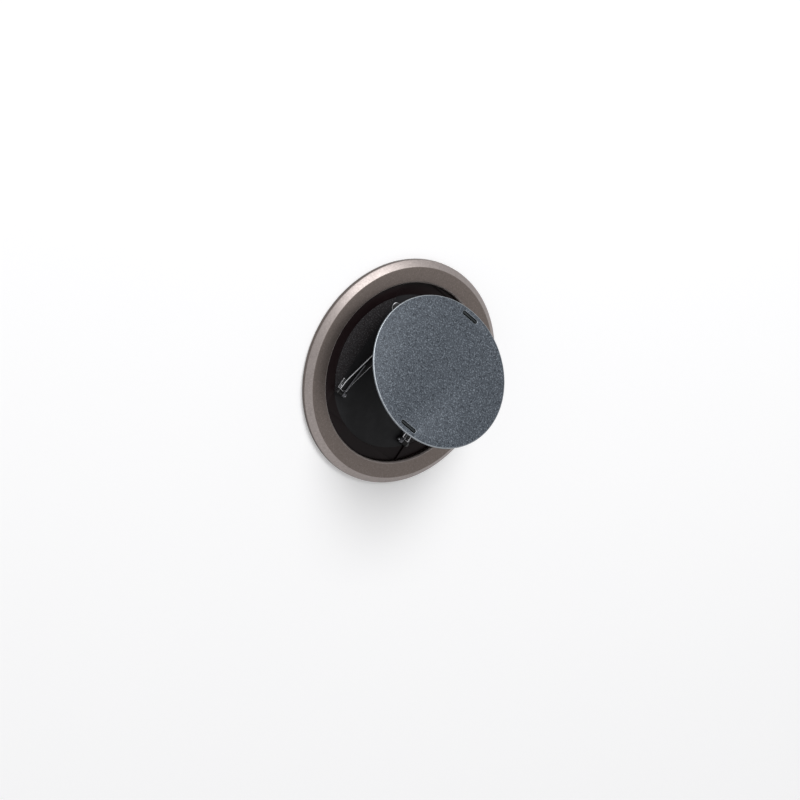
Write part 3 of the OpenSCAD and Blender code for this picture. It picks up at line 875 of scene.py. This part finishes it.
class GRIP_OT_floor(bpy.types.Operator):
    """Turn the tray, cut its pocket, and shape the textured seats and the soft pad"""

    bl_idname = "grip.floor"
    bl_label = "Floor"

    def execute(self, context):
        self.tray()
        self.seats()
        self.pad()
        return {"FINISHED"}

    def tray(self):
        """The moulded tray, with the arm pocket and a seam along each of its sides."""
        s = sizes()
        low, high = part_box("floor_plate")
        seat_low, seat_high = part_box("seat_left")
        well_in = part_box("base_ring")[1].x - s.band_width - s.fit_gap
        rim_in = s.fit_gap - seat_low.x
        profile = [
            (high.x, low.z),
            (high.x, seat_low.z),
            (well_in, seat_low.z),
            (well_in, high.z),
            (rim_in, high.z),
            (rim_in, seat_low.z),
        ]
        tray = turned("floor_tray", profile)

        pocket_half = -seat_high.x
        near = s.pocket_shift - s.pocket_length / 2
        far = s.pocket_shift + s.pocket_length / 2
        clear = high.z + MM
        cut(tray, block("pocket", (-pocket_half, near, seat_low.z), (pocket_half, far, clear)))
        deep = seat_low.z - s.seam_depth
        for side in (-1, 1):
            left, right = sorted((side * pocket_half, side * (pocket_half - s.seam_width)))
            cut(tray, block("seam", (left, near, deep), (right, far, clear)))

        dress(tray, base_plastic(), pocket_black_painted_light())
        # The pocket floor takes the second material, made lighter as painted light
        pocket_top = seat_low.z + s.seam_depth / 2
        paint_faces(tray, lambda face: face.normal.z > FACING and face.center.z < pocket_top)
        soften(tray, s.tray_round)
        seat_piece(tray, "base", "floor_plate")

    def seats(self):
        """The textured seats on both sides of the pocket."""
        s = sizes()
        low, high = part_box("seat_left")
        for side, node, name in ((-1, "seat_left", "left_seat"), (1, "seat_right", "right_seat")):
            seat = turned(name, [(-low.x, low.z), (-low.x, high.z)])
            start_edit(seat)
            bpy.ops.mesh.bisect(
                plane_co=(-side * high.x, 0, 0), plane_no=(-side, 0, 0), use_fill=True, clear_outer=True
            )
            end_edit()
            mend(seat)
            dress(seat, seat_texture())
            soften(seat, s.seat_round)
            seat_piece(seat, "base", node)

    def pad(self):
        """The soft pad, with shallow grooves round its underside."""
        s = sizes()
        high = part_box("grip_pad")[1]
        steps = []
        for groove in reversed(range(s.grooves)):
            far = high.x - s.groove_pitch * (groove + 0.5)
            near = far - s.groove_width
            steps += [(near, 0), (near, s.groove_depth), (far, s.groove_depth), (far, 0)]
        middle = (steps[0][0] / 2, 0)
        pad = turned("phone_pad", [middle, *steps, (high.x, 0), (high.x, high.z)])
        dress(pad, grip_rubber())
        soften(pad, s.tray_round)
        seat_piece(pad, "base", "grip_pad")


class GRIP_OT_foot_guide(bpy.types.Operator):
    """Finish the stamped foot guide, its domed rivets and the hinge brackets"""

    bl_idname = "grip.foot_guide"
    bl_label = "Foot guide"

    def execute(self, context):
        self.stamped()
        self.rivets()
        return {"FINISHED"}

    def stamped(self):
        """The guide and the brackets; the guide's slotted cheeks have no bright edges."""
        s = sizes()
        plates = (
            ("guide_plate", "foot_guide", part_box("foot_pin_right")[1].x),
            ("bracket_left", "left_bracket", 0),
            ("bracket_right", "right_bracket", 0),
        )
        for node, name, beyond in plates:
            plate = copy_of(node, name, whole=False)
            dress(plate, guide_steel(), cut_edge())
            edge_plate(plate, s.guide_edge, s.guide_edge_least, beyond)
            seat_piece(plate, "base", node)

    def rivets(self):
        """The two rivets of the guide, joined into one piece."""
        s = sizes()
        low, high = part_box("guide_rivets")
        rise = s.rivet_head - s.rivet_radius
        profile = [(s.rivet_radius, low.z), (s.rivet_radius, high.z)]
        profile += [(s.rivet_head * across, high.z + rise * up) for across, up in DOME]
        heads = []
        for side in (-1, 1):
            head = turned("rivet_heads", profile, sides=s.rivet_sides)
            head.location = (side * (high.x - s.rivet_radius), (low.y + high.y) / 2, 0)
            apply_place(head)
            heads.append(head)
        pick(*heads)
        bpy.ops.object.join()
        rivets = heads[0]
        dress(rivets, pin_steel())
        smooth(rivets, 50)
        seat_piece(rivets, "base", "guide_rivets")


class GRIP_OT_pins(bpy.types.Operator):
    """Grind the hinge pins and the rocking rod"""

    bl_idname = "grip.pins"
    bl_label = "Pins"

    def execute(self, context):
        self.cross_pins()
        self.rod()
        return {"FINISHED"}

    def cross_pins(self):
        """The pins that lie across the grip."""
        pins = (
            ("base_pin_left", "left_base_pin", "base"),
            ("base_pin_right", "right_base_pin", "base"),
            ("outer_arm_pin", "outer_arm_axle", "outer_arm"),
            ("inner_arm_pin", "inner_arm_axle", "inner_arm"),
            ("foot_pin_left", "left_foot_pin", "inner_arm"),
            ("foot_pin_right", "right_foot_pin", "inner_arm"),
        )
        for node, name, body in pins:
            low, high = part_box(node)
            size = high - low
            pin = pin_between(name, (low + high) / 2, (1, 0, 0), size.x / 2, size.z / 2)
            dress(pin, pin_steel())
            seat_piece(pin, body, node)

    def rod(self):
        """The rod along the spine on which the cap rocks."""
        radius = sizes().rod_radius
        low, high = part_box("rocking_rod")
        axis = Vector(joints["cap_rock"]["axis"])
        reach = ((high.y - low.y) / 2 - radius * abs(axis.z)) / axis.y
        rod = pin_between("rocking_axle", joint_place("cap_rock"), axis, reach, radius)
        dress(rod, pin_steel())
        seat_piece(rod, "spine", "rocking_rod")


class GRIP_OT_springs(bpy.types.Operator):
    """Wind the two torsion springs, each with a leg along the arm's rail"""

    bl_idname = "grip.springs"
    bl_label = "Springs"

    def execute(self, context):
        inner_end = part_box("spring_left")[1].x - sizes().wire / 2
        left = self.wind("left_spring")
        set_in(left, arm_frame() @ Matrix.Translation((inner_end, 0, 0)))
        dress(left, spring_steel())
        pick(left)
        bpy.ops.object.duplicate(linked=False)
        right = named("right_spring")
        right.scale = (-1, 1, 1)
        apply_place(right)
        mend(right)
        for spring, node in ((left, "spring_left"), (right, "spring_right")):
            smooth(spring, 60)
            seat_piece(spring, "outer_arm", node)
        return {"FINISHED"}

    def wind(self, name):
        """A coil round X whose last turn runs out into a leg along Y."""
        s = sizes()
        # A little thinner than the pitch, so that the turns stay apart
        wire_radius = s.wire / 2 * 0.97
        coil = start_piece(
            name,
            bpy.ops.mesh.primitive_circle_add,
            vertices=s.wire_sides,
            radius=wire_radius,
            location=(s.coil_radius, 0, 0),
            rotation=(math.radians(90), 0, 0),
        )
        apply_place(coil)
        modify(
            coil, "SCREW", axis="Z", angle=math.tau, iterations=s.coil_turns, screw_offset=s.wire,
            steps=s.coil_steps, render_steps=s.coil_steps, use_merge_vertices=True,
        )
        self.draw_leg(coil)

        start_edit(coil, "EDGE", "DESELECT")
        bpy.ops.mesh.select_non_manifold()
        bpy.ops.mesh.edge_face_add()
        end_edit()
        mend(coil)
        coil.rotation_euler = (0, math.radians(-90), 0)
        apply_place(coil)
        return coil

    def draw_leg(self, coil):
        """Draws the coil's last turn out into two short bends and a straight leg."""
        s = sizes()
        rise = s.coil_turns * s.wire
        near = s.wire / 2 * 0.99

        def at_end(point):
            place = point.co
            return abs(place.z - rise) < near and abs(place.y) < near * 0.01 and place.x > 0

        pick_parts(coil, "VERT", at_end)
        bpy.ops.mesh.edge_face_add()
        bpy.ops.mesh.select_mode(type="FACE")
        bend = s.coil_radius * 0.9
        drop = s.leg_height - s.coil_radius
        extrude(drop * 0.4, bend, 0)
        extrude(drop * 0.6, bend, 0)
        extrude(0, s.leg_length - bend, 0)
        end_edit()


class GRIP_OT_arms(bpy.types.Operator):
    """Finish the outer arm, the inner arm and the spine with bright cut edges"""

    bl_idname = "grip.arms"
    bl_label = "Arms"

    def execute(self, context):
        s = sizes()
        arms = (
            ("outer_arm", "outer_arm_plate", False, s.outer_arm_edge, 2),
            ("inner_arm", "inner_arm_plate", False, s.inner_arm_edge, 1),
            ("spine", "spine_bar", True, s.spine_edge, 1),
        )
        for body, name, whole, width, segments in arms:
            arm = copy_of(body, name, whole)
            # The arms' black is darker still as painted shade
            dress(arm, arm_black(), cut_edge())
            edge_plate(arm, width, s.arm_edge_least, segments=segments)
            seat_piece(arm, body, body)
        return {"FINISHED"}


class GRIP_OT_cap(bpy.types.Operator):
    """Turn the cap plate, cut its slots and finish the carrier under it"""

    bl_idname = "grip.cap"
    bl_label = "Cap"

    def execute(self, context):
        self.carrier()
        self.plate()
        return {"FINISHED"}

    def carrier(self):
        """The carrier, its hooks thinned so that a gap shows beside them in the slots."""
        s = sizes()
        carrier = copy_of("carrier", "cap_carrier")
        across = cap_frame().to_3x3() @ Matrix.Rotation(-s.slot_turn, 3, "Z") @ Vector((0, 1, 0))
        middle = cap_frame().translation

        def near_side(face):
            reach = abs((face.center - middle).dot(across))
            return face.normal.dot(across) < -FACING and reach > s.slot_reach - s.slot_width

        pick_parts(carrier, "FACE", near_side)
        bpy.ops.transform.translate(value=across * s.hook_gap)
        end_edit()
        dress(carrier, carrier_black())
        soften(carrier, s.carrier_round, limit=50)
        seat_piece(carrier, "cap", "carrier")

    def plate(self):
        """The slate plate with its bright rim and its two slots."""
        s = sizes()
        radius = s.cap_diameter / 2
        plate = turned("cap_plate", [(radius, s.cap_seat), (radius, s.cap_seat + s.cap_thickness)])
        dress(plate, cap_metal(), cap_rim())
        soften(plate, s.cap_round, bright=True, limit=50)
        for end in (-1, 1):
            cut(plate, self.slot(end))
        soften(plate, s.slot_round, bright=True, limit=50)
        set_in(plate, cap_frame())
        seat_piece(plate, "cap", "cap")

    def slot(self, end):
        """Cutter for one slot, with rounded ends, in the cap's own frame."""
        s = sizes()
        half = s.slot_length / 2
        wide = s.slot_width / 2
        cutter = block("slot", (-half, -wide, 0), (half, wide, s.cap_seat + 2 * s.cap_thickness))

        def upright(edge):
            first, second = edge_ends(cutter, edge)
            return abs(first.z - second.z) > s.cap_thickness

        pick_parts(cutter, "EDGE", upright)
        bpy.ops.mesh.bevel(offset=wide * 0.9, segments=8, affect="EDGES")
        end_edit()
        turn = Matrix.Rotation(-s.slot_turn, 4, "Z")
        set_in(cutter, turn @ Matrix.Translation((0, end * s.slot_reach, 0)))
        return cutter


class GRIP_OT_sealed(bpy.types.Operator):
    """Give the sealed magnets and the steel ring over them their finishes"""

    bl_idname = "grip.sealed"
    bl_label = "Magnets"

    def execute(self, context):
        dress(nodes["magnet_array"], magnet_nickel())
        dress(nodes["shunt_ring"], shunt_steel())
        return {"FINISHED"}


class GRIP_OT_stage(bpy.types.Operator):
    """Set up the pale floor, the lamps, the surroundings and the camera"""

    bl_idname = "grip.stage"
    bl_label = "Stage"

    def execute(self, context):
        scene = context.scene
        studio = scene.grip_studio
        self.floor(studio)
        distance = studio.lamp_distance
        self.lamp("key_lamp", studio.key_direction, distance, studio.key_size, studio.key_power)
        self.lamp("fill_lamp", studio.fill_direction, distance, studio.fill_size, studio.fill_power)
        self.surroundings(scene, studio.ambient)
        self.camera(scene, studio)
        scene.view_settings.view_transform = "Standard"
        return {"FINISHED"}

    def seen_directly(self, tree):
        """One for rays that show the background: from the camera, from gloss or through glass."""
        path = tree.nodes.new("ShaderNodeLightPath")
        glossy = calculated(tree, "MAXIMUM", path.outputs["Is Camera Ray"], path.outputs["Is Glossy Ray"])
        return calculated(tree, "MAXIMUM", glossy, path.outputs["Is Transmission Ray"])

    def floor(self, studio):
        """A wide pale disc under the grip, which looks white but keeps the grip's shadow."""
        c = colours()
        floor = start_piece(
            "studio_floor",
            bpy.ops.mesh.primitive_circle_add,
            vertices=studio.floor_sides,
            radius=studio.floor_radius,
            fill_type="NGON",
            location=(0, 0, cad_box[0].z - studio.floor_gap),
        )
        apply_place(floor)
        material = new_material("studio_floor", c.floor, roughness=0.9, specular=0.1)
        tree = material.node_tree
        shader = shader_of(material)
        patches = placed(
            material, worn_patches, Scale=3.0, Amount=0.2, Color=tint(c.floor), Worn=tint(c.floor_patch)
        )
        link(tree, patches.outputs["Color"], shader.inputs["Base Color"])
        glow = tree.nodes.new("ShaderNodeEmission")
        link(tree, times(tree, self.seen_directly(tree), studio.floor_glow), glow.inputs["Strength"])
        both = tree.nodes.new("ShaderNodeAddShader")
        link(tree, shader.outputs["BSDF"], both.inputs[0])
        link(tree, glow.outputs["Emission"], both.inputs[1])
        link(tree, both.outputs["Shader"], tree.nodes["Material Output"].inputs["Surface"])
        dress(floor, material)

    def lamp(self, name, towards, distance, size, power):
        """A square softbox that faces the grip."""
        place = Vector(towards).normalized() * distance
        lamp = start_piece(name, bpy.ops.object.light_add, type="AREA", location=place)
        lamp.rotation_euler = place.to_track_quat("Z", "Y").to_euler()
        lamp.data.shape = "SQUARE"
        lamp.data.size = size
        lamp.data.energy = power

    def surroundings(self, scene, ambient):
        """White where it is seen, softer where it only lights."""
        world = bpy.data.worlds.new("studio_surroundings")
        scene.world = world
        world.use_nodes = True
        tree = world.node_tree
        background = tree.nodes["Background"]
        background.inputs["Color"].default_value = (1, 1, 1, 1)
        strength = ranged(tree, self.seen_directly(tree), 0.0, 1.0, ambient, 1.0)
        link(tree, strength, background.inputs["Strength"])

    def camera(self, scene, studio):
        """The camera at the photograph's viewing angle."""
        camera = start_piece(
            "studio_camera",
            bpy.ops.object.camera_add,
            location=studio.camera_place,
            rotation=studio.camera_turn,
        )
        camera.data.lens = studio.camera_lens
        scene.camera = camera


PIECES = (
    GRIP_OT_ring, GRIP_OT_floor, GRIP_OT_foot_guide, GRIP_OT_pins, GRIP_OT_springs,
    GRIP_OT_arms, GRIP_OT_cap, GRIP_OT_sealed, GRIP_OT_stage,
)


class GRIP_PT_sidebar(bpy.types.Panel):
    """Lists the grip's pieces and its settings"""

    bl_idname = "GRIP_PT_sidebar"
    bl_label = "Phone Grip"
    bl_space_type = "VIEW_3D"
    bl_region_type = "UI"
    bl_category = "Grip"

    def draw(self, context):
        for piece in PIECES:
            self.layout.operator(piece.bl_idname)
        for settings, group in SETTINGS.items():
            box = self.layout.box()
            for name in group.__annotations__:
                box.prop(getattr(context.scene, settings), name)


SETTINGS = {"grip_sizes": GripSizes, "grip_colours": GripColours, "grip_studio": GripStudio}
CLASSES = (*SETTINGS.values(), *PIECES, GRIP_PT_sidebar)


def register():
    """Adds the classes and the scene's settings."""
    for cls in CLASSES:
        bpy.utils.register_class(cls)
    for settings, group in SETTINGS.items():
        setattr(bpy.types.Scene, settings, PointerProperty(type=group))


def unregister():
    """Takes the settings and the classes away again."""
    for settings in SETTINGS:
        delattr(bpy.types.Scene, settings)
    for cls in reversed(CLASSES):
        bpy.utils.unregister_class(cls)


def main():
    """Builds every piece and the stage."""
    register()
    bpy.ops.grip.ring()
    bpy.ops.grip.floor()
    bpy.ops.grip.foot_guide()
    bpy.ops.grip.pins()
    bpy.ops.grip.springs()
    bpy.ops.grip.arms()
    bpy.ops.grip.cap()
    bpy.ops.grip.sealed()
    bpy.ops.grip.stage()


if __name__ == "__main__":
    main()
